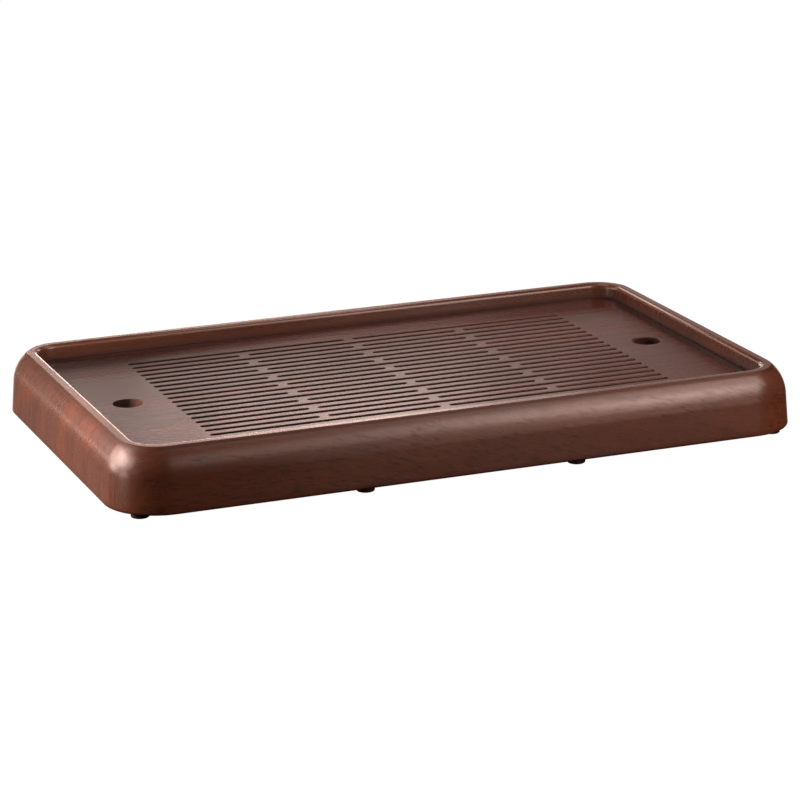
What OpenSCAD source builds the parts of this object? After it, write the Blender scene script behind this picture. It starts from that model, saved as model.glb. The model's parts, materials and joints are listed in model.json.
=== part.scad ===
// Gongfu tea tray. A carved wooden frame holds a slotted lift-out panel over a
// water pan with a capped drain outlet, on eight rubber feet.
// Millimetres, +Z up, long side along X, front at -Y. The feet stand on Z = 0
// and the origin is under the middle of the tray.

/* [Tray frame] */
// Length of the frame at its foot, along X
body_l = 480; // [476:1:510]
// Width of the frame at its foot, front to back
body_w = 290; // [288:1:320]
// Height of the wooden frame without the feet
body_h = 41.5; // [41:0.5:46]
// Plan radius of the outer corners at the foot of the frame
corner_r = 37; // [36.5:0.5:42]
// Inward lean of the lower outer wall, in degrees
wall_lean = 4.7; // [3:0.1:6]
// Radius of the rounded shoulder above the leaning wall
shoulder_r = 27; // [25:0.5:28]
// Angle that the rounded shoulder sweeps up to the rim band, in degrees
shoulder_sweep = 48; // [44:0.5:50]
// Width of the flat band on top of the rim
band_w = 4.2; // [3.4:0.1:4.8]
// Radius of the round on the inner arris of the rim
arris_r = 3.2; // [2.4:0.1:3.6]
// Width of the narrow bevel where the shoulder meets the band
crease_w = 0.9; // [0.4:0.1:1.5]
// Radius of the round along the foot of the outer wall
foot_edge_r = 1.6; // [0.8:0.1:2]
// Width of the ledge that carries the panel
ledge_w = 10.9; // [9:0.1:11.4]

/* [Slotted panel] */
// Depth of the panel's top face below the rim
panel_drop = 10; // [8:0.1:11]
// Thickness of the panel
panel_t = 9; // [8:0.5:10]
// Gap between the panel's edge and the rim's inner wall
panel_gap = 0.8; // [0.5:0.1:1.2]
// Width of one slot
slot_w = 4; // [3:0.1:5]
// Distance between rows of slots
slot_pitch = 10; // [8:0.5:10.5]
// Number of rows of slots, an odd number
slot_rows = 19; // [11:2:19]
// Length of the slotted field, slot tip to slot tip
slot_field = 325; // [290:1:327]
// Width of the bridges between the slots of one row
bridge_w = 6.5; // [5:0.5:9]
// Diameter of the two finger holes
hole_d = 20; // [16:0.5:22]
// Distance of each finger hole from the middle
hole_x = 190; // [188:0.5:194]
// Height of the cross battens under the panel
batten_h = 6; // [4:0.5:7]
// Width of the cross battens
batten_w = 10; // [8:0.5:11]
// Length of the cross battens
batten_l = 200; // [180:1:210]
// Distance of each cross batten from the middle
batten_x = 171; // [170:0.5:172]

/* [Base board and water pan] */
// Thickness of the base board
board_t = 6; // [5.5:0.1:6]
// Height of the board's lower face above the foot of the frame
board_recess = 3; // [3:0.1:3.5]
// Gap between the pan and the pocket in the frame
pan_gap = 1.1; // [0.8:0.1:1.2]
// Wall and floor thickness of the pan
pan_wall = 1.8; // [1.5:0.1:2.2]
// Radius of the finger reliefs beside the pan
relief_r = 9; // [7:0.5:9]

/* [Drain outlet] */
// Distance of the outlet from the middle, along X
drain_x = 140; // [110:1:142]
// Distance of the outlet's stem from the middle, towards the back
drain_y = 86; // [84:1:86]
// Radius of the hose spigot
spigot_r = 4; // [3.5:0.1:4]
// Radius of the stem that passes through the pan
stem_r = 7; // [6.5:0.1:7]
// Wall thickness of the cap on the spigot
cap_wall = 1.25; // [1:0.05:1.3]

/* [Feet] */
// Diameter of a rubber foot
foot_d = 12; // [11:0.5:14]
// Height of a rubber foot
foot_h = 4; // [3.5:0.1:5]
// Distance of the four inner feet from the middle, along X
foot_x1 = 74; // [60:1:90]
// Distance of the inner feet from the frame's outer edge
foot_inset = 10.3; // [9:0.1:13]

/* [Hidden] */
$fn = 64;
e = 0.01;

// heights
z_foot = foot_h;                        // lower face of the frame
z_rim = foot_h + body_h;                // flat band on the rim
z_panel = z_rim - panel_drop;           // panel's top face
z_ledge = z_panel - panel_t;            // ledge under the panel
z_board = z_foot + board_recess;        // base board's lower face
z_pan = z_board + board_t;              // base board's upper face, under the pan
z_pan_top = z_ledge - 0.5;              // edge of the pan

// frame section: u is the distance inwards from the frame's outer edge
sh_rise = shoulder_r * (sin(wall_lean + shoulder_sweep) - sin(wall_lean));
sh_run = shoulder_r * (cos(wall_lean) - cos(wall_lean + shoulder_sweep));
wall_h = body_h - sh_rise;              // height of the leaning wall
wall_u = wall_h * tan(wall_lean);       // how far it leans in
crease_u = wall_u + sh_run;             // outer edge of the flat band
inner_u = crease_u + band_w + arris_r;  // rim's inner wall
pocket_u = inner_u + ledge_w;           // pocket for the pan
rebate_u = inner_u + 1.9;               // rebate for the base board
half_l = body_l / 2;
half_w = body_w / 2;

// fittings
board_screw_u = (rebate_u + pocket_u) / 2;
foot_y1 = half_w - foot_inset;
corner_c = corner_r - foot_inset;       // corner feet lie on the corner's bisector
foot_x2 = half_l - corner_r + corner_c * cos(45);
foot_y2 = half_w - corner_r + corner_c * sin(45);
foot_at = [[-foot_x2, foot_y2], [-foot_x1, foot_y1], [foot_x1, foot_y1], [foot_x2, foot_y2]];
board_screw_at = concat(
    [for (x = [-180, -60, 60, 180], s = [-1, 1]) [x, s * (half_w - board_screw_u)]],
    [for (y = [-60, 60], s = [-1, 1]) [s * (half_l - board_screw_u), y]]);
batten_screw_y = [-80, 0, 80];
seal_t = 1.5;
flange_t = 1.5;
flange_r = 11;
spigot_z = z_pan - 5.6;                 // axis of the hose spigot
cap_end = drain_y + 26.6;               // outer end of the cap
cap_start = drain_y + flange_r + 1.2;
nut_t = 2.6;

// ---------- shared shapes ----------

// rounded rectangle, half sizes hx and hy
module rounded(hx, hy, r) {
    square([2 * hx - 2 * r, 2 * hy], center = true);
    square([2 * hx, 2 * hy - 2 * r], center = true);
    for (sx = [-1, 1], sy = [-1, 1])
        translate([sx * (hx - r), sy * (hy - r)]) circle(r = r, $fn = 96);
}

// rounded plate from z0 to z1
module plate(hx, hy, r, z0, z1) {
    translate([0, 0, z0]) linear_extrude(z1 - z0) rounded(hx, hy, r);
}

// countersunk screw, head down at the origin, shank up
module csk_screw(head_r, shank_r, len) {
    difference() {
        rotate_extrude() polygon([[0, 0], [head_r, 0], [head_r, 0.3],
            [shank_r, 0.3 + (head_r - shank_r)], [shank_r, len - 2 * shank_r], [0, len]]);
        for (a = [0, 90]) rotate(a) translate([-head_r * 0.55, -0.4, -e])
            cube([head_r * 1.1, 0.8, 0.9]);
    }
}

// hole for a countersunk screw
module csk_hole(head_r, shank_r, len) {
    rotate_extrude() polygon([[0, -e], [head_r, -e], [head_r, 0.3],
        [shank_r, 0.3 + (head_r - shank_r)], [shank_r, len - 2 * shank_r], [0, len]]);
}

// ---------- frame ----------

// section of the frame, u to the right and z up
module frame_section() {
    t = wall_lean;
    z0 = z_foot;
    zs = z0 + wall_h;
    cu = wall_u + shoulder_r * cos(t);
    cz = zs - shoulder_r * sin(t);
    // slope of the crease's bevel, and where it leaves the band
    b = (90 - t - shoulder_sweep) / 2;
    bu = crease_u + crease_w / 2;
    difference() {
        union() {
            // body of the section below the shoulder's chord; the wall meets the
            // shoulder's circle just inside it, so the two cross cleanly
            polygon([[0, z0], [rebate_u, z0], [rebate_u, z_pan], [pocket_u, z_pan],
                [pocket_u, z_ledge], [inner_u, z_ledge], [inner_u, z_rim],
                [crease_u, z_rim], [wall_u + 0.02, zs]]);
            // the rounded shoulder
            intersection() {
                translate([cu, cz]) circle(r = shoulder_r, $fn = 180);
                polygon([[wall_u - 4, zs - 3], [crease_u, zs - 3], [crease_u, z_rim], [wall_u - 4, z_rim]]);
            }
        }
        // bevel the crease between shoulder and band
        translate([bu, z_rim]) rotate(b) translate([-5, 0]) square([7, 3]);
        // round the inner arris
        difference() {
            translate([inner_u - arris_r, z_rim - arris_r]) square([arris_r + 1, arris_r + 1]);
            translate([inner_u - arris_r, z_rim - arris_r]) circle(r = arris_r);
        }
        // round the foot of the outer wall
        difference() {
            translate([-1, z0 - 1]) square([foot_edge_r + 1, foot_edge_r + 1]);
            translate([foot_edge_r, z0 + foot_edge_r]) circle(r = foot_edge_r);
        }
    }
}

// a section carried once round the frame
module around_frame() {
    for (sx = [0, 1], sy = [0, 1])
        mirror([sx, 0, 0]) mirror([0, sy, 0])
            translate([half_l - corner_r, half_w - corner_r, 0])
                rotate_extrude(angle = 90) translate([corner_r, 0]) mirror([1, 0]) children();
    for (s = [0, 1]) mirror([0, s, 0])
        translate([-(half_l - corner_r), 0, 0]) rotate([90, 0, 90])
            linear_extrude(2 * (half_l - corner_r)) translate([half_w, 0]) mirror([1, 0]) children();
    for (s = [0, 1]) mirror([s, 0, 0])
        translate([0, half_w - corner_r, 0]) rotate([90, 0, 0])
            linear_extrude(2 * (half_w - corner_r)) translate([half_l, 0]) mirror([1, 0]) children();
}

module tray_body() {
    color([0.36, 0.18, 0.13]) difference() {
        around_frame() frame_section();
        // finger reliefs beside the pan
        for (s = [-1, 1]) translate([s * (half_l - pocket_u), 0, z_pan - e])
            cylinder(r = relief_r, h = z_ledge - z_pan + 2 * e);
        // hose notch through the back of the frame
        translate([drain_x, half_w - pocket_u - 1, spigot_z]) rotate([-90, 0, 0])
            cylinder(r = 8, h = pocket_u + 2);
        translate([drain_x - 8, half_w - pocket_u - 1, z_foot - 1])
            cube([16, pocket_u + 2, spigot_z - z_foot + 1]);
        // screw holes
        for (p = board_screw_at) translate([p[0], p[1], z_board]) csk_hole(3.4, 1.5, 15);
        for (s = [-1, 1], p = foot_at) translate([p[0], s * p[1], z_foot - 1]) cylinder(r = 1.3, h = 10);
    }
}

module base_board() {
    color([0.55, 0.38, 0.25]) difference() {
        plate(half_l - rebate_u - 0.5, half_w - rebate_u - 0.5, corner_r - rebate_u - 0.5, z_board, z_pan);
        // room for the outlet, open to the back
        translate([drain_x - 12.5, drain_y - 14, z_board - 1])
            cube([25, half_w, board_t + 2]);
        for (p = board_screw_at) translate([p[0], p[1], z_board]) csk_hole(3.4, 1.5, 15);
    }
}

module base_screws() {
    color([0.75, 0.72, 0.62]) for (p = board_screw_at)
        translate([p[0], p[1], z_board]) csk_screw(3.4, 1.5, 15);
}

// ---------- panel ----------

// one slot from x0 to x1 in the row at y
module slot(x0, x1, y) {
    r = slot_w / 2;
    translate([x0 + r, y - r]) square([x1 - x0 - slot_w, slot_w]);
    for (x = [x0 + r, x1 - r]) translate([x, y]) circle(r = r, $fn = 32);
}

module slot_field_2d() {
    f = slot_field / 2;
    b = bridge_w / 2;
    for (i = [0 : slot_rows - 1]) {
        y = (i - (slot_rows - 1) / 2) * slot_pitch;
        if (i % 2 == 0) {
            slot(-f, -b, y);
            slot(b, f, y);
        } else {
            slot(-f, -f / 2 - b, y);
            slot(-f / 2 + b, f / 2 - b, y);
            slot(f / 2 + b, f, y);
        }
    }
}

module slotted_panel() {
    hx = half_l - inner_u - panel_gap;
    hy = half_w - inner_u - panel_gap;
    color([0.42, 0.26, 0.21]) difference() {
        translate([0, 0, z_ledge]) linear_extrude(panel_t) difference() {
            rounded(hx, hy, corner_r - inner_u - panel_gap);
            slot_field_2d();
            for (s = [-1, 1]) translate([s * hole_x, 0]) circle(d = hole_d, $fn = 96);
        }
        for (s = [-1, 1], y = batten_screw_y)
            translate([s * batten_x, y, z_ledge - batten_h]) csk_hole(2.8, 1.3, 12);
    }
}

module batten(s) {
    color([0.42, 0.26, 0.21]) difference() {
        translate([s * batten_x, 0, z_ledge - batten_h / 2])
            cube([batten_w, batten_l, batten_h], center = true);
        for (y = batten_screw_y)
            translate([s * batten_x, y, z_ledge - batten_h]) csk_hole(2.8, 1.3, 12);
    }
}
module panel_batten_left() { batten(-1); }
module panel_batten_right() { batten(1); }

module batten_screws() {
    color([0.75, 0.75, 0.75]) for (s = [-1, 1], y = batten_screw_y)
        translate([s * batten_x, y, z_ledge - batten_h]) csk_screw(2.8, 1.3, 12);
}

// ---------- water pan and outlet ----------

module water_pan() {
    hx = half_l - pocket_u - pan_gap;
    hy = half_w - pocket_u - pan_gap;
    in = pan_wall + 0.8;
    color([0.06, 0.06, 0.06]) difference() {
        union() {
            difference() {
                plate(hx, hy, 6, z_pan, z_pan_top);
                // the wall, and a thicker bead along its top edge
                plate(hx - pan_wall, hy - pan_wall, 6 - pan_wall, z_pan + pan_wall, z_pan_top - 2.4);
                plate(hx - in, hy - in, 6 - in, z_pan_top - 2.5, z_pan_top + 1);
            }
            // shallow stiffening ribs on the floor
            for (y = [-72 : 36 : 72]) translate([-150, y - 1.5, z_pan + pan_wall - 0.5])
                cube([drain_x + 115, 3, 1.3]);
        }
        translate([drain_x, drain_y, z_pan - 1]) cylinder(r = stem_r, h = pan_wall + 2);
    }
}

module drain_outlet() {
    z_fl = z_pan - seal_t - flange_t;
    z_top = z_pan + pan_wall + nut_t;
    z_low = spigot_z - spigot_r - 0.4;
    color([0.72, 0.55, 0.25]) difference() {
        union() {
            translate([drain_x, drain_y, z_fl]) cylinder(r = flange_r, h = flange_t);
            translate([drain_x, drain_y, z_fl]) cylinder(r = stem_r, h = z_top - z_fl);
            translate([drain_x, drain_y, z_low]) cylinder(r = 6.5, h = z_fl - z_low + e);
            translate([drain_x, drain_y, spigot_z]) rotate([-90, 0, 0])
                cylinder(r = spigot_r, h = 24);
        }
        // the way through: down the stem, then out along the spigot
        translate([drain_x, drain_y, spigot_z - 2.7]) cylinder(r = 4.8, h = 30);
        translate([drain_x, drain_y, spigot_z]) rotate([-90, 0, 0]) cylinder(r = 2.7, h = 30);
        // side slots let the last water in at the pan's floor
        for (a = [45, 135]) translate([drain_x, drain_y, z_pan + pan_wall + 0.6]) rotate(a)
            cube([40, 2.4, 1.6], center = true);
    }
}

module drain_seal() {
    color([0.1, 0.1, 0.1]) translate([drain_x, drain_y, z_pan - seal_t]) difference() {
        cylinder(r = flange_r, h = seal_t);
        translate([0, 0, -1]) cylinder(r = stem_r, h = seal_t + 2);
    }
}

module drain_nut() {
    color([0.72, 0.55, 0.25]) translate([drain_x, drain_y, z_pan + pan_wall]) difference() {
        cylinder(r = 11, h = nut_t, $fn = 6);
        translate([0, 0, -1]) cylinder(r = stem_r, h = nut_t + 2);
        for (a = [45, 135]) translate([0, 0, 0.6]) rotate(a) cube([40, 2.4, 1.6], center = true);
    }
}

module drain_strainer() {
    color([0.8, 0.8, 0.8]) translate([drain_x, drain_y, z_pan + pan_wall + nut_t]) difference() {
        cylinder(r = 6.9, h = 0.6);
        for (a = [0 : 60 : 300]) rotate(a) translate([3.6, 0, -1]) cylinder(r = 0.9, h = 3, $fn = 24);
        translate([0, 0, -1]) cylinder(r = 0.9, h = 3, $fn = 24);
    }
}

module drain_stopper() {
    cap_r = spigot_r + cap_wall;
    color([0.2, 0.2, 0.2]) translate([drain_x, 0, spigot_z]) rotate([-90, 0, 0]) difference() {
        union() {
            translate([0, 0, cap_start]) cylinder(r = cap_r - 0.3, h = cap_end - cap_start);
            // grip rings
            for (i = [0 : 2]) translate([0, 0, cap_end - 2.2 - 3 * i]) cylinder(r = cap_r, h = 1.4);
        }
        translate([0, 0, cap_start - 1]) cylinder(r = spigot_r + 0.05, h = drain_y + 24.4 - cap_start + 1);
    }
}

// ---------- feet ----------

module foot(i, s) {
    r = foot_d / 2;
    p = foot_at[i];
    color([0.05, 0.05, 0.05]) translate([p[0], s * p[1], 0]) rotate_extrude()
        difference() {
            union() {
                translate([0, 1]) square([r, foot_h - 1]);
                square([r - 1, foot_h]);
                translate([r - 1, 1]) circle(r = 1, $fn = 32);
            }
            translate([-5, -1]) square([5 + 3.5, 3.1]);
            translate([-5, -1]) square([5 + 1.3, 10]);
            translate([-20, -1]) square([20, 20]);
        }
}
module foot_front_1() { foot(0, -1); }
module foot_front_2() { foot(1, -1); }
module foot_front_3() { foot(2, -1); }
module foot_front_4() { foot(3, -1); }
module foot_back_1() { foot(0, 1); }
module foot_back_2() { foot(1, 1); }
module foot_back_3() { foot(2, 1); }
module foot_back_4() { foot(3, 1); }

module foot_washers() {
    color([0.7, 0.7, 0.7]) for (s = [-1, 1], p = foot_at) translate([p[0], s * p[1], 1.6]) difference() {
        cylinder(r = 3.3, h = 0.5);
        translate([0, 0, -1]) cylinder(r = 1.3, h = 3);
    }
}

module foot_screws() {
    color([0.65, 0.65, 0.65]) for (s = [-1, 1], p = foot_at) translate([p[0], s * p[1], 0.4]) difference() {
        union() {
            cylinder(r = 2.6, h = 1.2);
            rotate_extrude() polygon([[0, 1], [1.3, 1], [1.3, foot_h + 7], [0, foot_h + 8.6 - 0.4]]);
        }
        for (a = [0, 90]) rotate(a) translate([-1.5, -0.35, -e]) cube([3, 0.7, 0.7]);
    }
}

tray_body();
base_board();
base_screws();
slotted_panel();
panel_batten_left();
panel_batten_right();
batten_screws();
water_pan();
drain_outlet();
drain_seal();
drain_nut();
drain_strainer();
drain_stopper();
foot_front_1();
foot_front_2();
foot_front_3();
foot_front_4();
foot_back_1();
foot_back_2();
foot_back_3();
foot_back_4();
foot_washers();
foot_screws();
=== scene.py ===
import json
import math

import bmesh
import bpy
import numpy as np
from mathutils import Matrix, Vector


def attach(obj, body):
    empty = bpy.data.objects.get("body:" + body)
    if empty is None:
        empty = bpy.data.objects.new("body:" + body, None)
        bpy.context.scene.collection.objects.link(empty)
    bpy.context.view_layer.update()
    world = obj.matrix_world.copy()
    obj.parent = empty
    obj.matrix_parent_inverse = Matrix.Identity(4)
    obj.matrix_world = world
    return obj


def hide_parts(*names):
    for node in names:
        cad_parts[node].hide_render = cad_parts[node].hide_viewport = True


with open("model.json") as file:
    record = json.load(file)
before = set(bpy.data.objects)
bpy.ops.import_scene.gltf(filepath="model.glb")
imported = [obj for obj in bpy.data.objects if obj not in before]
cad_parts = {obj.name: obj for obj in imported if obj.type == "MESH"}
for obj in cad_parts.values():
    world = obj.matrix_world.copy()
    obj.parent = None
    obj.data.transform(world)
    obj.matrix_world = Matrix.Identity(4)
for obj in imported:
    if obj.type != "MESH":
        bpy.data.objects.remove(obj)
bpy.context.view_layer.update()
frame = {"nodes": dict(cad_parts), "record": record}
nodes = frame["nodes"]
scene = bpy.context.scene
MM = 0.001

# ---------------------------------------------------------------- sizes, mm
HALF_L, HALF_W, CORNER = 240.0, 145.0, 37.0
Z_FOOT, Z_RIM, Z_PANEL, Z_LEDGE, Z_PAN = 4.0, 45.5, 35.5, 26.5, 13.0
LEAN, SHOULDER, SWEEP = 4.7, 27.0, 48.0
BAND, ARRIS, FOOT_EDGE = 4.2, 3.2, 1.6


def rad(a):
    return math.radians(a)


RISE = SHOULDER * (math.sin(rad(LEAN + SWEEP)) - math.sin(rad(LEAN)))
RUN = SHOULDER * (math.cos(rad(LEAN)) - math.cos(rad(LEAN + SWEEP)))
WALL_H = Z_RIM - Z_FOOT - RISE
WALL_U = WALL_H * math.tan(rad(LEAN))
CREASE_U = WALL_U + RUN
INNER_U = CREASE_U + BAND + ARRIS
POCKET_U = INNER_U + 10.9
REBATE_U = INNER_U + 1.9


# ---------------------------------------------------------------- camera
def camera():
    az, el, roll = rad(-21.499), rad(16.480), rad(-0.706)
    f, tx, ty, dist = 3134.864, 3.431, -19.756, 2139.363
    back = Vector((math.sin(az) * math.cos(el), -math.cos(az) * math.cos(el), math.sin(el)))
    fw = -back
    r = fw.cross(Vector((0, 0, 1))).normalized()
    u = r.cross(fw)
    c, s = math.cos(roll), math.sin(roll)
    rr, uu = c * r + s * u, -s * r + c * u
    place = -dist * fw + tx * rr + ty * uu + Vector((0, 0, Z_PANEL))
    data = bpy.data.cameras.new("camera")
    data.sensor_width = 36.0
    data.lens = f * 36.0 / 800.0
    data.clip_start, data.clip_end = 0.1, 30.0
    cam = bpy.data.objects.new("camera", data)
    m = Matrix((rr, uu, back)).transposed().to_4x4()
    m.translation = place * MM
    cam.matrix_world = m
    scene.collection.objects.link(cam)
    scene.camera = cam


camera()


# ---------------------------------------------------------------- meshes
def link(name, bm_or_mesh, body, mats=()):
    if isinstance(bm_or_mesh, bmesh.types.BMesh):
        me = bpy.data.meshes.new(name)
        bm_or_mesh.to_mesh(me)
        bm_or_mesh.free()
    else:
        me = bm_or_mesh
    ob = bpy.data.objects.new(name, me)
    scene.collection.objects.link(ob)
    for m in mats:
        me.materials.append(m)
    if body:
        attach(ob, body)
    return ob


def arc(cx, cz, r, a0, a1, n):
    return [(cx + r * math.cos(rad(a0 + (a1 - a0) * i / n)), cz + r * math.sin(rad(a0 + (a1 - a0) * i / n)))
            for i in range(n + 1)]


def fillet(p, a, b, r, n):
    """Round of radius r at the corner p between the points a and b."""
    p, a, b = (np.array(q, float) for q in (p, a, b))
    da, db = a - p, b - p
    da, db = da / np.linalg.norm(da), db / np.linalg.norm(db)
    half = math.acos(max(-1, min(1, float(da @ db)))) / 2
    t = r / math.tan(half)
    mid = da + db
    c = p + mid / np.linalg.norm(mid) * (r / math.sin(half))
    s, e = p + da * t, p + db * t
    v0, v1 = s - c, e - c
    ang = math.atan2(v0[0] * v1[1] - v0[1] * v1[0], float(v0 @ v1))
    out = []
    for i in range(n + 1):
        w = ang * i / n
        out.append(tuple(c + np.array((v0[0] * math.cos(w) - v0[1] * math.sin(w), v0[0] * math.sin(w) + v0[1] * math.cos(w)))))
    return out


def frame_profile():
    """Closed section of the frame as (u inwards, z), counted from the foot of the outer wall upwards."""
    t = rad(LEAN)
    zs = Z_FOOT + WALL_H
    cu, cz = WALL_U + SHOULDER * math.cos(t), zs - SHOULDER * math.sin(t)
    pts = []
    pts += fillet((0, Z_FOOT), (8, Z_FOOT), (WALL_U, zs), FOOT_EDGE, 8)
    z0 = pts[-1][1]
    for i in range(1, 9):
        z = z0 + (zs - z0) * i / 9
        pts.append(((z - Z_FOOT) * math.tan(t), z))
    shoulder = arc(cu, cz, SHOULDER, 180 - LEAN, 180 - LEAN - SWEEP, 40)
    # small round at the crease
    rc = 1.0
    x = cu - math.sqrt((SHOULDER - rc) ** 2 - (Z_RIM - rc - cz) ** 2)
    a_end = math.degrees(math.atan2(Z_RIM - rc - cz, x - cu))
    keep = [p for p in shoulder if math.degrees(math.atan2(p[1] - cz, p[0] - cu)) > a_end + 0.4]
    pts += keep
    pts += arc(x, Z_RIM - rc, rc, a_end, 90, 8)
    pts += [(CREASE_U + 1.2, Z_RIM), (CREASE_U + BAND * 0.6, Z_RIM), (INNER_U - ARRIS - 0.3, Z_RIM)]
    pts += arc(INNER_U - ARRIS, Z_RIM - ARRIS, ARRIS, 90, 0, 18)
    pts += [(INNER_U, Z_RIM - ARRIS - 0.3), (INNER_U, Z_PANEL), (INNER_U, Z_LEDGE + 0.5)]
    pts += [(INNER_U, Z_LEDGE)]
    pts += [(INNER_U + 0.5, Z_LEDGE), (POCKET_U - 0.6, Z_LEDGE)]
    pts += fillet((POCKET_U, Z_LEDGE), (POCKET_U - 3, Z_LEDGE), (POCKET_U, Z_LEDGE - 3), 0.5, 3)
    pts += [(POCKET_U, Z_PAN + 6), (POCKET_U, Z_PAN + 0.3), (POCKET_U, Z_PAN)]
    pts += [(REBATE_U + 0.2, Z_PAN), (REBATE_U, Z_PAN), (REBATE_U, Z_PAN - 0.3), (REBATE_U, Z_FOOT + 0.8)]
    pts += fillet((REBATE_U, Z_FOOT), (REBATE_U, Z_FOOT + 3), (REBATE_U - 3, Z_FOOT), 0.5, 3)
    pts += [(REBATE_U - 1, Z_FOOT), (11.6, Z_FOOT), (FOOT_EDGE + 0.6, Z_FOOT)]
    return pts


def outline(n_corner=20, long_cuts=24, short_cuts=14):
    """Points of the outer edge and their outward direction, counted anticlockwise seen from above."""
    rows = []
    cx, cy = HALF_L - CORNER, HALF_W - CORNER
    for k, (sx, sy) in enumerate(((1, 1), (-1, 1), (-1, -1), (1, -1))):
        for i in range(n_corner + 1):
            a = rad(90 * k + 90 * i / n_corner)
            rows.append((sx * cx, sy * cy, math.cos(a), math.sin(a)))
        nx, ny = ((-1, 1), (-1, -1), (1, -1), (1, 1))[k]
        cuts = long_cuts if k % 2 == 0 else short_cuts
        for i in range(1, cuts):
            w = i / cuts
            rows.append((sx * cx + (nx * cx - sx * cx) * w, sy * cy + (ny * cy - sy * cy) * w,
                         math.cos(rad(90 * k + 90)), math.sin(rad(90 * k + 90))))
    return rows


def sweep(profile, rows):
    bm = bmesh.new()
    grid = []
    for cx, cy, dx, dy in rows:
        ring = []
        for u, z in profile:
            r = CORNER - u
            ring.append(bm.verts.new(((cx + dx * r) * MM, (cy + dy * r) * MM, z * MM)))
        grid.append(ring)
    n, m = len(grid), len(profile)
    for i in range(n):
        a, b = grid[i], grid[(i + 1) % n]
        for j in range(m):
            k = (j + 1) % m
            bm.faces.new((a[j], b[j], b[k], a[k]))
    bm.normal_update()
    return bm


def cyl(x, y, z0, z1, r, n=48):
    bm = bmesh.new()
    bmesh.ops.create_cone(bm, cap_ends=True, segments=n, radius1=r * MM, radius2=r * MM, depth=(z1 - z0) * MM,
                          matrix=Matrix.Translation(Vector((x, y, (z0 + z1) / 2)) * MM))
    return bm


def mesh_of(bm, name="cutter"):
    me = bpy.data.meshes.new(name)
    bm.to_mesh(me)
    bm.free()
    return me


def cut(ob, cutters):
    for me in cutters:
        c = bpy.data.objects.new("cutter", me)
        scene.collection.objects.link(c)
        mod = ob.modifiers.new("cut", "BOOLEAN")
        mod.operation = "DIFFERENCE"
        mod.solver = "MANIFOLD"
        mod.object = c
        dg = bpy.context.evaluated_depsgraph_get()
        new = bpy.data.meshes.new_from_object(ob.evaluated_get(dg))
        ob.modifiers.clear()
        old = ob.data
        ob.data = new
        bpy.data.meshes.remove(old)
        bpy.data.objects.remove(c)


def smooth(me, angle=28):
    me.shade_smooth() if hasattr(me, "shade_smooth") else None
    for p in me.polygons:
        p.use_smooth = True
    me.set_sharp_from_angle(angle=rad(angle))


# wall plane at the back, for the hose notch with eased edges
def notch_cutter():
    bm = bmesh.new()
    x0, zc = 140.0, 7.4
    def ring(y, grow, lean):
        r = 8.0 + grow
        out = []
        shape = [(r * math.cos(rad(a)), zc + r * math.sin(rad(a))) for a in range(0, 181, 6)]
        shape += [(-r, z) for z in (3.0, -4.0)] + [(r, z) for z in (-4.0, 3.0)]
        for x, z in shape:
            yy = y - (z - Z_FOOT) * math.tan(rad(LEAN)) * lean
            out.append(bm.verts.new(((x0 + x) * MM, yy * MM, z * MM)))
        return out
    rings = [ring(HALF_W - POCKET_U - 1, 0, 0), ring(HALF_W - 0.9, 0, 1), ring(HALF_W - 0.55, 0.06, 1),
             ring(HALF_W - 0.25, 0.25, 1), ring(HALF_W - 0.06, 0.55, 1), ring(HALF_W + 0.02, 0.95, 1), ring(HALF_W + 3, 1.4, 1)]
    m = len(rings[0])
    for a, b in zip(rings, rings[1:]):
        for i in range(m):
            j = (i + 1) % m
            bm.faces.new((a[i], a[j], b[j], b[i]))
    bm.faces.new(list(reversed(rings[0])))
    bm.faces.new(rings[-1])
    bmesh.ops.recalc_face_normals(bm, faces=bm.faces)
    return mesh_of(bm)


def build_frame(mats):
    bm = sweep(frame_profile(), outline())
    bmesh.ops.recalc_face_normals(bm, faces=bm.faces)
    ob = link("frame_carved", bm, None, mats=mats)
    cutters = [notch_cutter()]
    for s in (-1, 1):
        cutters.append(mesh_of(cyl(s * (HALF_L - POCKET_U), 0, Z_PAN - 0.01, Z_LEDGE + 0.01, 9.0, 64)))
    for s in (-1, 1):
        for x in (-180, -60, 60, 180):
            cutters.append(mesh_of(cyl(x, s * 118.775, 6.0, 22.0, 1.45, 24)))
        for y in (-60, 60):
            cutters.append(mesh_of(cyl(s * 213.775, y, 6.0, 22.0, 1.45, 24)))
    cut(ob, cutters)
    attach(ob, "tray")
    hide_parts("tray_body")
    smooth(ob.data)
    return ob


def loop_slot(x0, x1, y, r, n=10):
    """Anticlockwise outline of one slot."""
    pts = [(x1 - r + r * math.cos(rad(a)), y + r * math.sin(rad(a))) for a in np.linspace(-90, 90, n + 1)]
    pts += [(x0 + r + r * math.cos(rad(a)), y + r * math.sin(rad(a))) for a in np.linspace(90, 270, n + 1)]
    return pts


def slots():
    f, b, out = 162.5, 3.25, []
    for i in range(19):
        y = (i - 9) * 10.0
        if i % 2 == 0:
            out += [(-f, -b, y), (b, f, y)]
        else:
            out += [(-f, -f / 2 - b, y), (-f / 2 + b, f / 2 - b, y), (f / 2 + b, f, y)]
    return out


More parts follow.
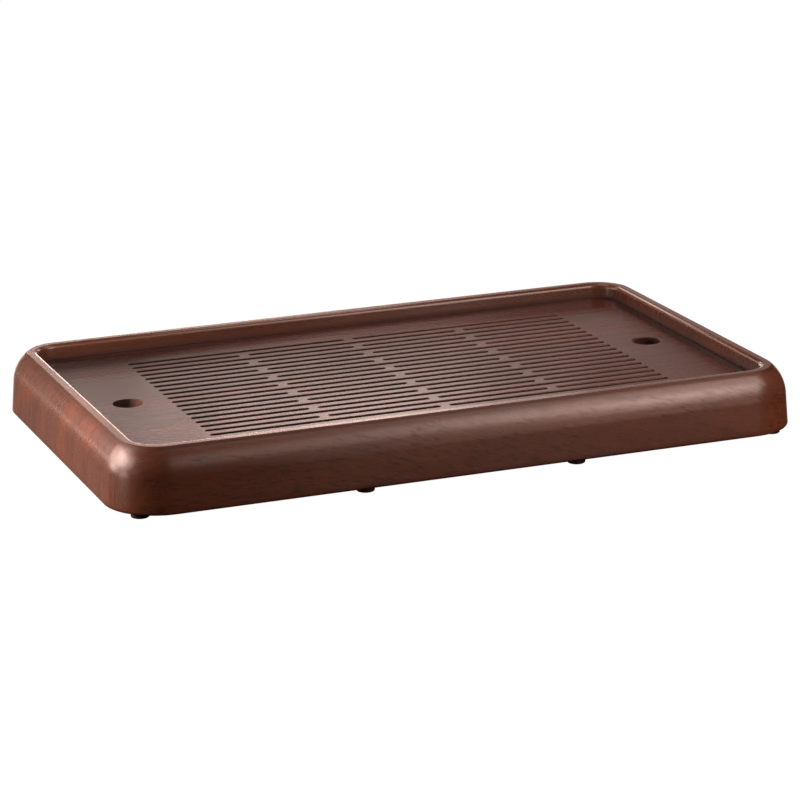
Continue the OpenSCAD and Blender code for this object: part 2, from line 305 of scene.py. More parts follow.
def build_panel(mats):
    from mathutils.geometry import delaunay_2d_cdt
    hx, hy, rc = HALF_L - INNER_U - 0.8, HALF_W - INNER_U - 0.8, CORNER - INNER_U - 0.8
    e = 0.45  # round on every upper edge

    def outer(off):
        pts = []
        for k, (sx, sy) in enumerate(((1, 1), (-1, 1), (-1, -1), (1, -1))):
            for i in range(13):
                a = rad(90 * k + 90 * i / 12)
                pts.append((sx * (hx - rc) + (rc - off) * math.cos(a), sy * (hy - rc) + (rc - off) * math.sin(a)))
        return pts

    def hole(x, off):
        return [(x + (10.0 + off) * math.cos(rad(a)), (10.0 + off) * math.sin(rad(a))) for a in range(0, 360, 6)]

    def slot_loop(s, off):
        x0, x1, y = s
        return loop_slot(x0 - off, x1 + off, y, 2.0 + off)

    shapes = [("outer", outer, None)]
    for s in slots():
        shapes.append(("in", lambda off, s=s: slot_loop(s, off), s))
    for x in (-190.0, 190.0):
        shapes.append(("in", lambda off, x=x: hole(x, off), x))

    verts, loops = [], []
    for kind, fn, _ in shapes:
        pts = fn(e)
        loops.append(list(range(len(verts), len(verts) + len(pts))))
        verts += pts
    res = delaunay_2d_cdt([Vector(v) for v in verts], [], loops, 0, 1e-7)
    rv, rf, orig = res[0], res[2], res[5]
    bm = bmesh.new()
    steps = 4
    nrm = {}

    def vert(x, y, z, n):
        v = bm.verts.new((x * MM, y * MM, z * MM))
        nrm[v] = n
        return v

    top = [vert(v.x, v.y, Z_PANEL, (0, 0, 1)) for v in rv]
    low = [vert(v.x, v.y, Z_LEDGE, (0, 0, -1)) for v in rv]
    index = {}
    for i, source in enumerate(res[3]):
        for k in source:
            index[k] = i
    for f, o in zip(rf, orig):
        if any(k != 0 for k in o) or not o:
            continue
        bm.faces.new([top[i] for i in f])
        bm.faces.new([low[i] for i in reversed(f)])
    for loop, (kind, fn, _) in zip(loops, shapes):
        base = fn(e)
        m = len(base)
        edge = fn(0.0)
        rings_t, rings_b = [], []
        dirs = []
        for (ax, ay), (bx, by) in zip(base, edge):
            d = np.array((bx - ax, by - ay))
            dirs.append(d / max(np.linalg.norm(d), 1e-9))
        for half, z_edge, sgn, store in ((0, Z_PANEL, 1, rings_t), (1, Z_LEDGE, -1, rings_b)):
            for k in range(1, steps + 1):
                a = rad(90 * k / steps)
                ring = []
                for (ax, ay), d in zip(base, dirs):
                    o = e * math.sin(a)
                    ring.append(vert(ax + d[0] * o, ay + d[1] * o, z_edge - sgn * e * (1 - math.cos(a)),
                                     (d[0] * math.sin(a), d[1] * math.sin(a), sgn * math.cos(a))))
                store.append(ring)
        tl = [top[index[k]] for k in loop]
        bl = [low[index[k]] for k in loop]
        stack = [tl] + rings_t + list(reversed(rings_b)) + [bl]
        for a, b in zip(stack, stack[1:]):
            for i in range(m):
                j = (i + 1) % m
                q = (a[i], b[i], b[j], a[j]) if kind == "outer" else (a[i], a[j], b[j], b[i])
                bm.faces.new(q)
    bmesh.ops.recalc_face_normals(bm, faces=bm.faces)
    bm.verts.index_update()
    normals = [None] * len(bm.verts)
    for v, n in nrm.items():
        normals[v.index] = n
    me = bpy.data.meshes.new("panel_slatted")
    bm.to_mesh(me)
    bm.free()
    for p in me.polygons:
        p.use_smooth = True
    me.normals_split_custom_set_from_vertices(normals)
    ob = link("panel_slatted", me, "panel", mats)
    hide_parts("slotted_panel")
    return ob


# ---------------------------------------------------------------- materials
class Tree:
    def __init__(self, name):
        self.mat = bpy.data.materials.new(name)
        self.mat.use_nodes = True
        self.t = self.mat.node_tree
        self.t.nodes.clear()
        self.out = self.t.nodes.new("ShaderNodeOutputMaterial")
        self.bsdf = self.t.nodes.new("ShaderNodeBsdfPrincipled")
        self.t.links.new(self.bsdf.outputs[0], self.out.inputs[0])
        tc = self.t.nodes.new("ShaderNodeTexCoord")
        self.coord, self.normal = tc.outputs["Object"], tc.outputs["Normal"]

    def set(self, **kw):
        for k, v in kw.items():
            self.bsdf.inputs[k.replace("_", " ")].default_value = v

    def link(self, a, b):
        self.t.links.new(a, b)

    def into(self, name, out):
        self.t.links.new(out, self.bsdf.inputs[name])

    def put(self, sock, val):
        if isinstance(val, bpy.types.NodeSocket):
            self.t.links.new(val, sock)
        else:
            sock.default_value = val

    def split(self, vec):
        n = self.t.nodes.new("ShaderNodeSeparateXYZ")
        self.link(vec, n.inputs[0])
        return n.outputs

    def vec(self, x, y, z):
        n = self.t.nodes.new("ShaderNodeCombineXYZ")
        for i, v in enumerate((x, y, z)):
            self.put(n.inputs[i], v)
        return n.outputs[0]

    def add_scaled(self, a, k, b):
        """a * k + b, all vectors"""
        n = self.t.nodes.new("ShaderNodeVectorMath")
        n.operation = "MULTIPLY_ADD"
        self.put(n.inputs[0], a)
        self.put(n.inputs[1], k)
        self.put(n.inputs[2], b)
        return n.outputs[0]

    def map(self, scale=(1, 1, 1), rot=(0, 0, 0), loc=(0, 0, 0), vec=None):
        n = self.t.nodes.new("ShaderNodeMapping")
        self.link(vec or self.coord, n.inputs["Vector"])
        n.inputs["Scale"].default_value = scale
        n.inputs["Rotation"].default_value = [rad(a) for a in rot]
        n.inputs["Location"].default_value = loc
        return n.outputs[0]

    def noise(self, vec, scale, detail=4.0, rough=0.55, distort=0.0, color=False):
        n = self.t.nodes.new("ShaderNodeTexNoise")
        self.link(vec, n.inputs["Vector"])
        n.inputs["Scale"].default_value = scale
        n.inputs["Detail"].default_value = detail
        n.inputs["Roughness"].default_value = rough
        n.inputs["Distortion"].default_value = distort
        return n.outputs["Color" if color else "Fac"]

    def ramp(self, fac, *stops, interp="LINEAR"):
        n = self.t.nodes.new("ShaderNodeValToRGB")
        n.color_ramp.interpolation = interp
        el = n.color_ramp.elements
        while len(el) < len(stops):
            el.new(0.5)
        for e, (p, c) in zip(el, stops):
            e.position = p
            e.color = (*c, 1.0) if len(c) == 3 else c
        self.link(fac, n.inputs[0])
        return n.outputs[0]

    def math(self, op, a, b=0.0, c=None, clamp=False):
        n = self.t.nodes.new("ShaderNodeMath")
        n.operation = op
        n.use_clamp = clamp
        self.put(n.inputs[0], a)
        self.put(n.inputs[1], b)
        if c is not None:
            self.put(n.inputs[2], c)
        return n.outputs[0]

    def mix(self, fac, a, b, mode="MIX"):
        n = self.t.nodes.new("ShaderNodeMix")
        n.data_type = "RGBA"
        n.blend_type = mode
        self.put(n.inputs[0], fac)
        for i, v in ((6, a), (7, b)):
            self.put(n.inputs[i], v if isinstance(v, bpy.types.NodeSocket) else (*v, 1.0))
        return n.outputs[2]

    def blend(self, fac, a, b):
        """a where fac is 0, b where it is 1, all numbers"""
        return self.math("MULTIPLY_ADD", self.math("SUBTRACT", b, a), fac, a)

    def range(self, v, a, b, c, d):
        n = self.t.nodes.new("ShaderNodeMapRange")
        self.link(v, n.inputs[0])
        for i, x in enumerate((a, b, c, d)):
            n.inputs[i + 1].default_value = x
        return n.outputs[0]

    def bump(self, height, strength, distance, normal=None):
        n = self.t.nodes.new("ShaderNodeBump")
        n.inputs["Strength"].default_value = strength
        n.inputs["Distance"].default_value = distance
        self.link(height, n.inputs["Height"])
        if normal:
            self.link(normal, n.inputs["Normal"])
        self.link(n.outputs[0], self.bsdf.inputs["Normal"])
        return n.outputs[0]


def walnut_frame(name):
    """Carved walnut slab: slanting flecks on the long faces, soft upright streaks on the ends, plain land."""
    dark, mid, light = (0.050, 0.0172, 0.0088), (0.088, 0.0335, 0.0190), (0.133, 0.0550, 0.0335)
    rust, plum, pore_col = (0.155, 0.0450, 0.0175), (0.095, 0.0450, 0.0340), (0.016, 0.0055, 0.0032)
    t = Tree(name)
    x, y, z = t.split(t.coord)
    facing = t.split(t.normal)
    end = t.range(t.math("ABSOLUTE", facing[0]), 0.35, 0.85, 0.0, 1.0)
    top = t.range(facing[2], 0.90, 0.99, 0.0, 1.0)
    side = t.math("SUBTRACT", 1.0, end)
    # u runs inwards from the outer edge; flecks and strong figure stay outside the crease
    ax = t.math("MAXIMUM", t.math("SUBTRACT", t.math("ABSOLUTE", x), (HALF_L - CORNER) * MM), 0.0)
    ay = t.math("MAXIMUM", t.math("SUBTRACT", t.math("ABSOLUTE", y), (HALF_W - CORNER) * MM), 0.0)
    u = t.math("SUBTRACT", CORNER * MM, t.math("SQRT", t.math("ADD", t.math("MULTIPLY", ax, ax), t.math("MULTIPLY", ay, ay))))
    outer = t.range(u, (CREASE_U - 1.0) * MM, CREASE_U * MM, 1.0, 0.0)
    calm = t.math("MULTIPLY", t.range(end, 0.0, 1.0, 1.0, 0.12), t.range(top, 0.0, 1.0, 1.0, 0.25))
    calm = t.math("MULTIPLY", calm, t.range(outer, 0.0, 1.0, 0.12, 1.0))
    # the layers run level at the left and dip steadily from there to the right
    reach = t.math("ADD", x, 0.12)
    lift = t.math("SQRT", t.math("ADD", t.math("MULTIPLY", reach, reach), 0.0025))
    lift = t.math("MULTIPLY", t.math("ADD", lift, reach), 0.19)
    bow = t.math("MULTIPLY", t.math("POWER", t.math("SUBTRACT", z, 0.016), 2.0), 8.0)
    flat = t.vec(x, t.math("ADD", y, bow), t.math("ADD", z, lift))
    warp = t.noise(t.map((5, 8, 11), vec=flat), 1.0, 2.0, 0.5, color=True)
    q = t.add_scaled(warp, (0.0, 0.014, 0.012), flat)
    curl = t.noise(t.map((28, 30, 55), loc=(4, 4, 2)), 1.0, 2.0, 0.5, color=True)
    q = t.add_scaled(curl, (0.0, 0.0015, 0.0030), q)
    rings = t.noise(t.map((2.4, 210, 40), vec=q), 1.0, 3.0, 0.55)
    fine = t.blend(end, t.noise(t.map((48, 300, 620), vec=q), 1.0, 3.0, 0.6), t.noise(t.map((9, 280, 20), vec=q), 1.0, 2.0, 0.5))
    streak = t.noise(t.map((8, 130, 11), vec=q, loc=(2, 5, 1)), 1.0, 2.0, 0.45)
    cloud = t.noise(t.map((4.5, 16, 18), vec=t.coord, loc=(3, 1, 7)), 1.0, 3.0, 0.5)
    blush = t.noise(t.map((6, 22, 30), vec=t.coord, loc=(9, 4, 2)), 1.0, 3.0, 0.55)
    mottle = t.noise(t.map((14, 34, 40), vec=t.coord, loc=(2, 6, 5)), 1.0, 3.0, 0.6)
    col = t.ramp(rings, (0.28, dark), (0.50, mid), (0.74, light))
    col = t.mix(t.math("SUBTRACT", 0.75, t.math("MULTIPLY", calm, 0.75)), col, mid)
    col = t.mix(t.math("MULTIPLY", t.range(streak, 0.50, 0.76, 0.0, 0.30), end), col, dark)
    col = t.mix(t.math("MULTIPLY", t.range(streak, 0.48, 0.24, 0.0, 0.20), end), col, light)
    col = t.mix(t.range(blush, 0.50, 0.68, 0.0, 0.75), col, rust)
    col = t.mix(t.math("MULTIPLY", t.range(x, 0.200, 0.236, 0.0, 0.32), outer), col, rust)
    # painted shade: faces that look to the front (-Y) are tinted a deeper, more saturated red
    col = t.mix(t.math("MULTIPLY", t.range(facing[1], -0.6, -0.95, 0.0, 0.45), outer), col, (0.112, 0.0330, 0.0150))
    col = t.mix(t.range(blush, 0.44, 0.28, 0.0, 0.60), col, plum)
    col = t.mix(t.math("MULTIPLY", t.range(fine, 0.42, 0.74, 0.0, 0.45), calm), col, dark)
    col = t.mix(t.range(mottle, 0.55, 0.75, 0.0, 0.25), col, light)
    col = t.mix(t.range(cloud, 0.40, 0.75, 0.0, 0.35), col, light)
    # short slanting flecks on the long faces, thicker in some patches
    where = t.noise(t.map((9, 22, 34), vec=t.coord, loc=(1, 8, 3)), 1.0, 2.0, 0.5)
    here = t.math("MULTIPLY", t.range(where, 0.36, 0.60, 0.40, 1.0), t.math("MULTIPLY", t.math("MULTIPLY", side, outer), t.range(facing[2], 0.35, 0.75, 1.0, 0.0)))
    fleck = t.noise(t.map((125, 60, 720), vec=q), 1.0, 2.0, 0.55, 0.3)
    fleck = t.math("MULTIPLY", t.range(fleck, 0.54, 0.66, 0.0, 1.0), here)
    dash = t.noise(t.map((75, 60, 400), vec=q, loc=(4, 2, 9)), 1.0, 3.0, 0.6, 0.3)
    dash = t.math("MULTIPLY", t.range(dash, 0.55, 0.68, 0.0, 1.0), here)
    pore = t.noise(t.map((60, 1500, 1500), vec=q), 1.0, 2.0, 0.5)
    pores = t.math("MULTIPLY", t.range(pore, 0.60, 0.72, 0.0, 1.0), calm)
    col = t.mix(t.math("MULTIPLY", fleck, 0.80), col, pore_col)
    col = t.mix(t.math("MULTIPLY", dash, 0.55), col, pore_col)
    col = t.mix(t.math("MULTIPLY", pores, 0.30), col, pore_col)
    # the inner arris is worn a little paler. Painted shade: a dark line just under the crease, the outer wall darker
    # towards the floor, and a dark band at the foot of the inner wall above the panel.
    high = t.range(z, (Z_RIM - 5) * MM, (Z_RIM - 1) * MM, 0.0, 1.0)
    # painted shade: thin dark line just outside the crease
    crease_shade = t.range(t.math("ABSOLUTE", t.math("SUBTRACT", u, (CREASE_U - 1.3) * MM)), 0.2 * MM, 1.3 * MM, 1.0, 0.0)
    crease_shade = t.math("MULTIPLY", crease_shade, high)
    arris = t.range(t.math("ABSOLUTE", t.math("SUBTRACT", u, (INNER_U - 1.2) * MM)), 0.2 * MM, 1.4 * MM, 1.0, 0.0)
    rub = t.noise(t.map((30, 30, 60)), 1.0, 3.0, 0.6)
    worn = t.math("MULTIPLY", t.math("MULTIPLY", arris, high), t.range(rub, 0.35, 0.65, 0.3, 1.0))
    col = t.mix(t.math("MULTIPLY", worn, 0.22), col, tuple(min(1.0, c * 1.7) for c in light))
    col = t.mix(t.math("MULTIPLY", crease_shade, 0.85), col, (0.040, 0.0095, 0.0035))
    # painted shade: the outer wall is darker over its lowest 4 mm, next to the floor
    col = t.mix(t.range(z, Z_FOOT * MM, (Z_FOOT + 4) * MM, 0.35, 0.0), col, dark)
    # painted shade: near-black band at the foot of the inner wall, just above the panel
    foot = t.math("MULTIPLY", t.range(z, (Z_PANEL + 0.5) * MM, (Z_PANEL + 3.5) * MM, 1.0, 0.0), t.range(u, (CREASE_U + 2) * MM, INNER_U * MM, 0.0, 1.0))
    col = t.mix(t.math("MULTIPLY", foot, 0.55), col, pore_col)
    t.into("Base Color", col)
    open_grain = t.math("ADD", t.math("MULTIPLY", fleck, 0.20), t.math("MULTIPLY", dash, 0.12))
    polish = t.math("MULTIPLY", t.math("MULTIPLY", arris, high), 0.12)
    r = t.math("ADD", t.blend(top, t.range(fine, 0.3, 0.75, 0.26, 0.30), 0.25), t.math("MULTIPLY", crease_shade, 0.25))
    r = t.math("ADD", t.math("SUBTRACT", r, polish), t.math("MULTIPLY", foot, 0.35))
    t.into("Roughness", t.math("ADD", r, open_grain))
    h = t.math("SUBTRACT", t.math("MULTIPLY", t.math("MULTIPLY", fine, calm), 0.25), t.math("ADD", t.math("MULTIPLY", fleck, 0.5), t.math("MULTIPLY", pores, 0.4)))
    t.bump(t.math("MULTIPLY", h, t.math("MULTIPLY", side, outer)), 0.12, 0.0000)
    t.set(IOR=1.5)
    return t.mat


def walnut_panel(name):
    """Darker board, sawn so that fine straight lines run along the slots; the cut walls are painted dark as shade."""
    dark, mid, light = (0.017, 0.0063, 0.0052), (0.029, 0.0118, 0.0100), (0.046, 0.0220, 0.0193)
    rust, plum, pore_col = (0.092, 0.0235, 0.0125), (0.030, 0.0147, 0.0150), (0.010, 0.0040, 0.0034)
    t = Tree(name)
    x, y, z = t.split(t.coord)
    facing = t.split(t.normal)
    nz = t.math("ABSOLUTE", facing[2])
    warp = t.noise(t.map((3, 9, 9)), 1.0, 2.0, 0.5, color=True)
    q = t.add_scaled(warp, (0.0, 0.012, 0.008), t.coord)
    rings = t.noise(t.map((2.0, 120, 14), vec=q), 1.0, 3.0, 0.6)
    bands = t.noise(t.map((4.5, 70, 10), vec=q, loc=(6, 2, 4)), 1.0, 3.0, 0.6)
    fine = t.noise(t.map((5, 460, 60), vec=q), 1.0, 3.0, 0.65)
    lines = t.noise(t.map((9, 900, 300), vec=q, loc=(5, 3, 1)), 1.0, 2.0, 0.5)
    cloud = t.noise(t.map((4, 10, 10), vec=t.coord, loc=(3, 1, 7)), 1.0, 3.0, 0.5)
    pore = t.noise(t.map((55, 1500, 1200), vec=q), 1.0, 2.0, 0.5)
    col = t.ramp(rings, (0.30, dark), (0.50, mid), (0.72, light))
    # random warm tone, plus painted light: the board grows redder towards the right (+X), and plum where it is least
    # warm
    tone_and_right_light = t.math("ADD", t.range(cloud, 0.35, 0.65, -0.25, 0.25), t.range(x, -0.22, 0.22, 0.0, 1.0), clamp=True)
    col = t.mix(t.math("MULTIPLY", tone_and_right_light, 0.70), col, rust)
    col = t.mix(t.range(tone_and_right_light, 0.0, 0.5, 0.40, 0.0), col, plum)
    col = t.mix(t.range(bands, 0.50, 0.64, 0.0, 0.65), col, rust)
    col = t.mix(t.range(bands, 0.46, 0.34, 0.0, 0.50), col, plum)
    col = t.mix(t.range(fine, 0.42, 0.70, 0.0, 0.50), col, dark)
    col = t.mix(t.range(lines, 0.52, 0.72, 0.0, 0.45), col, light)
    pores = t.range(pore, 0.60, 0.72, 0.0, 1.0)
    col = t.mix(t.math("MULTIPLY", pores, 0.40), col, pore_col)
    walls = t.range(nz, 0.35, 0.75, 1.0, 0.0)
    # slot walls are painted near-black as painted shade, less so to the right; in the finger holes the walls that face
    # outwards are painted paler as painted light
    inwards = t.math("MULTIPLY", facing[0], t.math("SIGN", x))
    holes = t.range(t.math("ABSOLUTE", x), 0.168, 0.176, 0.0, 1.0)
    # painted shade: dark slot walls, lighter towards the right, darkest on the walls that face -X
    slot_shade = t.math("MAXIMUM", t.range(x, 0.02, 0.13, 0.82, 0.45), t.range(facing[0], -0.5, -0.2, 0.95, 0.0))
    slot_shade = t.blend(holes, slot_shade, t.range(inwards, 0.0, 0.5, 0.60, 0.0))
    col = t.mix(t.math("MULTIPLY", walls, slot_shade), col, (0.007, 0.0028, 0.0020))
    # painted light: finger-hole walls facing outwards are painted paler
    hole_wall_light = t.math("MULTIPLY", t.math("MULTIPLY", walls, holes), t.range(inwards, 0.35, 0.80, 0.0, 0.8))
    col = t.mix(hole_wall_light, col, (0.190, 0.1000, 0.0780))
    # painted light: the top millimetre of the slot walls that face the front is painted paler, more so towards the
    # right
    slot_lip_light = t.math("MULTIPLY", t.range(z, (Z_PANEL - 1.0) * MM, (Z_PANEL - 0.35) * MM, 0.0, 1.0), t.range(facing[1], -0.9, -0.5, 1.0, 0.0))
    slot_lip_light = t.math("MULTIPLY", t.math("MULTIPLY", slot_lip_light, walls), t.range(x, -0.02, 0.13, 0.0, 0.85))
    col = t.mix(slot_lip_light, col, (0.170, 0.0720, 0.0500))
    # painted shade: near-black band along the right edge of the panel, beside the frame's inner wall
    right_edge_shade = t.math("MULTIPLY", t.range(x, (HALF_L - INNER_U - 11.0) * MM, (HALF_L - INNER_U - 7.0) * MM, 0.0, 1.0), t.range(y, -0.10, 0.10, 1.0, 0.6))
    col = t.mix(t.math("MULTIPLY", right_edge_shade, 0.95), col, (0.005, 0.0020, 0.0015))
    t.into("Base Color", col)
    r = t.math("ADD", t.range(fine, 0.3, 0.75, 0.21, 0.27), t.range(bands, 0.35, 0.65, 0.0, 0.04))
    t.into("Roughness", t.math("ADD", t.math("ADD", r, t.math("MULTIPLY", walls, 0.30)), t.math("MULTIPLY", right_edge_shade, -0.10)))
    t.bump(t.math("SUBTRACT", t.math("MULTIPLY", fine, 0.4), t.math("MULTIPLY", pores, 0.4)), 0.06, 0.0000)
    t.set(IOR=1.39)
    return t.mat


def ply(name):
    """Sealed board: pale oak-brown face with long cathedral grain."""
    t = Tree(name)
    warp = t.noise(t.map((3, 9, 9)), 1.0, 2.0, 0.5, color=True)
    q = t.add_scaled(warp, (0.0, 0.03, 0.01), t.coord)
    rings = t.noise(t.map((2, 60, 60), vec=q), 1.0, 3.0, 0.55)
    fine = t.noise(t.map((12, 700, 700), vec=q), 1.0, 3.0, 0.6)
    col = t.ramp(rings, (0.30, (0.17, 0.095, 0.05)), (0.52, (0.26, 0.155, 0.085)), (0.74, (0.34, 0.215, 0.125)))
    col = t.mix(t.range(fine, 0.45, 0.72, 0.0, 0.5), col, (0.13, 0.07, 0.035))
    t.into("Base Color", col)
    t.into("Roughness", t.range(fine, 0.3, 0.7, 0.45, 0.60))
    t.bump(fine, 0.3, 0.0001)
    return t.mat


def plain(name, color, rough, metallic=0.0, scale=900.0, bump=0.15, dist=0.0001, spread=0.08, tone=0.12, stretch=(1, 1, 1)):
    t = Tree(name)
    n = t.noise(t.map(stretch), scale, 4.0, 0.6)
    big = t.noise(t.map(), 38.0, 3.0, 0.5)
    lo = tuple(c * (1 - tone) for c in color)
    hi = tuple(min(1.0, c * (1 + tone)) for c in color)
    t.into("Base Color", t.mix(t.range(big, 0.3, 0.7, 0.0, 1.0), lo, hi))
    t.into("Roughness", t.range(n, 0.3, 0.7, rough - spread, rough + spread))
    t.set(Metallic=metallic)
    t.bump(n, bump, dist)
    return t.mat


M_FRAME = walnut_frame("walnut_frame")
M_PANEL = walnut_panel("walnut_panel")
M_PLY = ply("sealed_ply")
M_PAN = plain("pan_plastic", (0.018, 0.018, 0.018), 0.42, scale=2600, bump=0.35, dist=0.0001)
M_BRASS = plain("brass_turned", (0.62, 0.42, 0.16), 0.28, 1.0, 700, 0.1, 0.0000)
M_STEEL = plain("stainless", (0.60, 0.60, 0.60), 0.27, 1.0, 1200, 0.12, 0.0000)
M_ZINC = plain("zinc_steel", (0.50, 0.50, 0.47), 0.34, 1.0, 800, 0.12, 0.0000)
M_SEAL = plain("seal_rubber", (0.03, 0.03, 0.03), 0.62, scale=1800)
M_CAP = plain("cap_silicone", (0.05, 0.05, 0.052), 0.45, scale=1500, bump=0.1)
M_FOOT = plain("foot_rubber", (0.012, 0.012, 0.012), 0.6, scale=1800, bump=0.3, dist=0.0001)

frame_obj = build_frame([M_FRAME])
panel_obj = build_panel([M_PANEL])

SLOT_MAT = {"frame_walnut": M_FRAME, "panel_walnut": M_PANEL, "board_ply": M_PLY, "pan_black": M_PAN, "brass": M_BRASS,
            "stainless": M_STEEL, "zinc_steel": M_ZINC, "seal_rubber": M_SEAL, "cap_rubber": M_CAP, "foot_rubber": M_FOOT}
for part in frame["record"]["subparts"]:
    ob = nodes.get(part["node"])
    if ob is None:
        continue
    m = SLOT_MAT[part["material_slot"]]
    if not ob.data.materials:
        ob.data.materials.append(m)
    for i in range(len(ob.material_slots)):
        ob.material_slots[i].material = m


# ---------------------------------------------------------------- floor and light
def floor():
    """Pale sheet that rises far away into a dome, so that every view has the same plain background."""
    t = Tree("floor_paper")
    n = t.noise(t.map(), 3.0, 3.0, 0.5)
    t.into("Base Color", t.mix(n, (0.10, 0.10, 0.10), (0.12, 0.12, 0.12)))
    t.set(Roughness=1.0, Specular_IOR_Level=0.0, Emission_Color=(1, 1, 1, 1), Emission_Strength=1.0)
    line = [(0.6, 0.0), (1.2, 0.0), (2.5, 0.0), (5.0, 0.0)]
    line += [(5.0 + 2.0 * math.sin(rad(a)), 2.0 - 2.0 * math.cos(rad(a))) for a in range(10, 91, 10)]
    line += [(7.0 * math.cos(rad(a)), 2.0 + 6.0 * math.sin(rad(a))) for a in range(10, 81, 10)]
    bm = bmesh.new()
    m = 64
    rings = [[bm.verts.new((r * math.cos(rad(360 * i / m)), r * math.sin(rad(360 * i / m)), h)) for i in range(m)] for r, h in line]
    for lo, hi in zip(rings, rings[1:]):
        for i in range(m):
            j = (i + 1) % m
            bm.faces.new((lo[i], lo[j], hi[j], hi[i]))
    bm.faces.new(rings[0])
    bm.faces.new(list(reversed(rings[-1])))
    for f in bm.faces:
        f.smooth = True
    ob = link("floor", bm, None, mats=[t.mat])
    ob.visible_glossy = False
    ob.visible_diffuse = False
    ob.visible_shadow = False
    return ob


floor()

WARM = (1.0, 0.74, 0.66)


def aim(ob, loc, target):
    loc, target = Vector(loc), Vector(target)
    ob.location = loc
    ob.rotation_euler = (target - loc).to_track_quat("-Z", "Y").to_euler()
    scene.collection.objects.link(ob)
    ob.visible_camera = False
    return ob


def area(name, loc, target, size, weight):
    """Softbox with the same light all over."""
    d = bpy.data.lights.new(name, "AREA")
    d.shape = "RECTANGLE"
    d.size, d.size_y = size
    d.energy = weight * size[0] * size[1] * 10.0
    d.color = WARM
    return aim(bpy.data.objects.new(name, d), loc, target)


def summed(nt, terms):
    total = None
    for out in terms:
        if total is None:
            total = out
            continue
        n = nt.nodes.new("ShaderNodeMath")
        n.operation = "ADD"
        nt.links.new(total, n.inputs[0])
        nt.links.new(out, n.inputs[1])
        total = n.outputs[0]
    return total


def bell(nt, value, scale, shift, strength):
    """strength * exp(value * scale + shift)"""
    for op, k in (("MULTIPLY_ADD", (scale, shift)), ("EXPONENT", ()), ("MULTIPLY", (strength,))):
        n = nt.nodes.new("ShaderNodeMath")
        n.operation = op
        nt.links.new(value, n.inputs[0])
        for i, v in enumerate(k):
            n.inputs[i + 1].default_value = v
        value = n.outputs[0]
    return value


def sky(lobes):
    """Soft light from all round: azimuth from +Y towards +X, elevation and half width in degrees, strength."""
    world = bpy.data.worlds.get("world") or bpy.data.worlds.new("world")
    scene.world = world
    world.use_nodes = True
    nt = world.node_tree
    nt.nodes.clear()
    out = nt.nodes.new("ShaderNodeOutputWorld")
    bg = nt.nodes.new("ShaderNodeBackground")
    bg.inputs[0].default_value = (*WARM, 1.0)
    bg.inputs[1].default_value = 0.0
    nt.links.new(bg.outputs[0], out.inputs[0])
    way = nt.nodes.new("ShaderNodeTexCoord").outputs["Generated"]
    terms = []
    for az, el, width, strength in lobes:
        dot = nt.nodes.new("ShaderNodeVectorMath")
        dot.operation = "DOT_PRODUCT"
        nt.links.new(way, dot.inputs[0])
        dot.inputs[1].default_value = (math.sin(rad(az)) * math.cos(rad(el)), math.cos(rad(az)) * math.cos(rad(el)), math.sin(rad(el)))
        k = 1.0 / rad(width) ** 2
        terms.append(bell(nt, dot.outputs["Value"], k, -k, strength))
    if terms:
        nt.links.new(summed(nt, terms), bg.inputs[1])


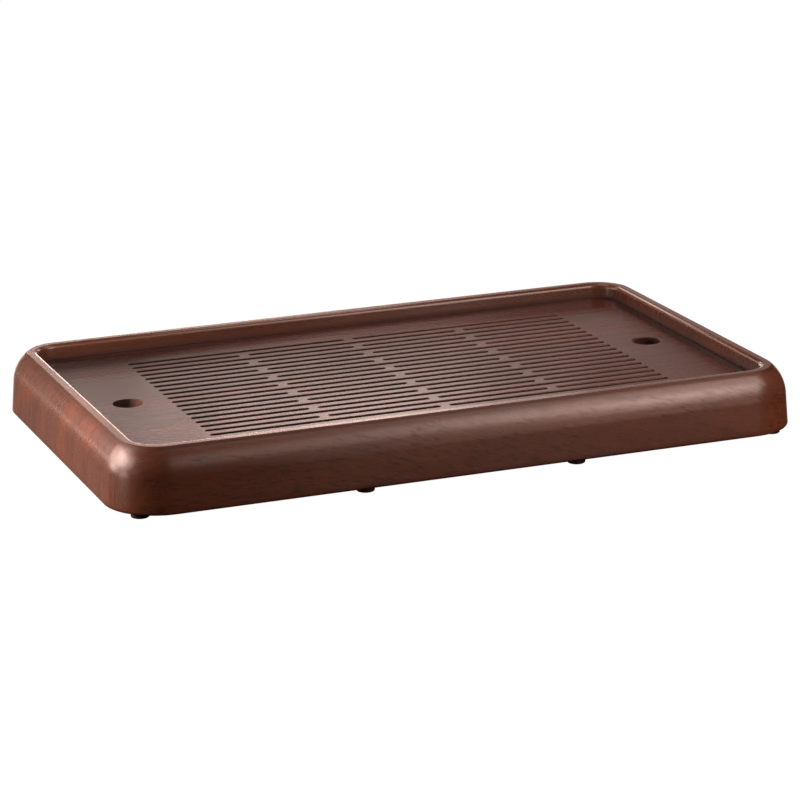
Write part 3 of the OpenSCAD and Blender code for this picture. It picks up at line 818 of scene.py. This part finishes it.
RIG = [
    ("top_back", (0.12, 0.20, 0.50), (0.12, 0.10, 0.03), (0.22, 0.12), 1.80),
    ("r_left_2_0", (-1.1, 0.5, 0.075), (0, 0.5, 0.075), (0.6, 0.15), 4.01),
    ("r_back_2_1", (0.1, 1.3, 0.1), (0.1, 0, 0.1), (0.6, 0.08), 3.65),
    ("q_m60_22_25", (-0.4207, -0.0041, 0.1287), (-0.22, -0.12, 0.035), (0.113, 0.113), 2.12),
    ("r_near_3_1_3", (0.2, 0.5, 0.28), (0.12, -0.1, 0.035), (0.15, 0.06), 1.72),
    ("w_m60_18", (-0.7413, 0.4280, 0.3081), (0, 0, 0.03), (0.45, 0.45), 1.71),
    ("r_back_0_0", (-1.2, 1.3, 0.03), (-1.2, 0, 0.03), (0.8, 0.06), 1.97),
    ("h_15_m10_12", (-0.39, -0.1, 0.12), (-0.24, -0.07, 0.03), (0.12, 0.1), 1.96),
    ("q_m60_38_25", (-0.3906, -0.0215, 0.1889), (-0.22, -0.12, 0.035), (0.113, 0.113), 1.84),
    ("key", (0.534, -0.594, 0.637), (0, 0, 0.035), (0.6, 0.45), 1.63),
    ("h_35_m10_3", (-0.59, -0.1, 0.03), (-0.24, -0.07, 0.03), (0.12, 0.1), 2.03),
    ("q_m75_22_25", (-0.4439, -0.06, 0.1287), (-0.22, -0.12, 0.035), (0.113, 0.113), 2.79),
    ("i_50_70_30", (0.5, -0.845, 0.3), (0.5, -0.1, 0.03), (0.25, 0.15), 1.53),
    ("p_155_35_30", (0.3039, -0.3677, 0.2121), (0.2, -0.145, 0.04), (0.135, 0.135), 1.28),
    ("k_35_20_m20", (-0.2, 0.35, 0.2), (-0.28, -0.1, 0.035), (0.15, 0.05), 1.18),
    ("r_near_2_0_2", (0.05, 0.3, 0.2), (-0.03, -0.1, 0.035), (0.15, 0.06), 1.11),
    ("r_near_3_0_2", (0.2, 0.3, 0.2), (0.12, -0.1, 0.035), (0.15, 0.06), 0.54),
    ("i_50_70_5", (0.5, -0.845, 0.05), (0.5, -0.1, 0.03), (0.25, 0.15), 0.87),
    ("r_back_2_2", (0.1, 1.3, 0.2), (0.1, 0, 0.2), (0.6, 0.12), 0.67),
    ("r_back_0_3", (-1.2, 1.3, 0.505), (-1.2, 0, 0.505), (0.8, 0.49), 0.53),
    ("w_135_60", (0.3182, -0.3182, 0.8094), (0, 0, 0.03), (0.45, 0.45), 0.41),
    ("r_near_2_1_2", (0.05, 0.5, 0.2), (-0.03, -0.1, 0.035), (0.15, 0.06), 0.30),
    ("i_10_30_5", (0.1, -0.4450, 0.05), (0.1, -0.1, 0.03), (0.25, 0.15), 0.26),
    ("k_35_20_m5", (-0.05, 0.35, 0.2), (-0.13, -0.1, 0.035), (0.15, 0.05), 0.24),
]
for row in RIG:
    area(*row)
sky([(148, 33, 8, 3.90), (17, -6, 11, 4.3), (-25, -12, 14, 0.24)])

scene.view_settings.view_transform = "Standard"
scene.view_settings.look = "None"
scene.view_settings.exposure = 0.0
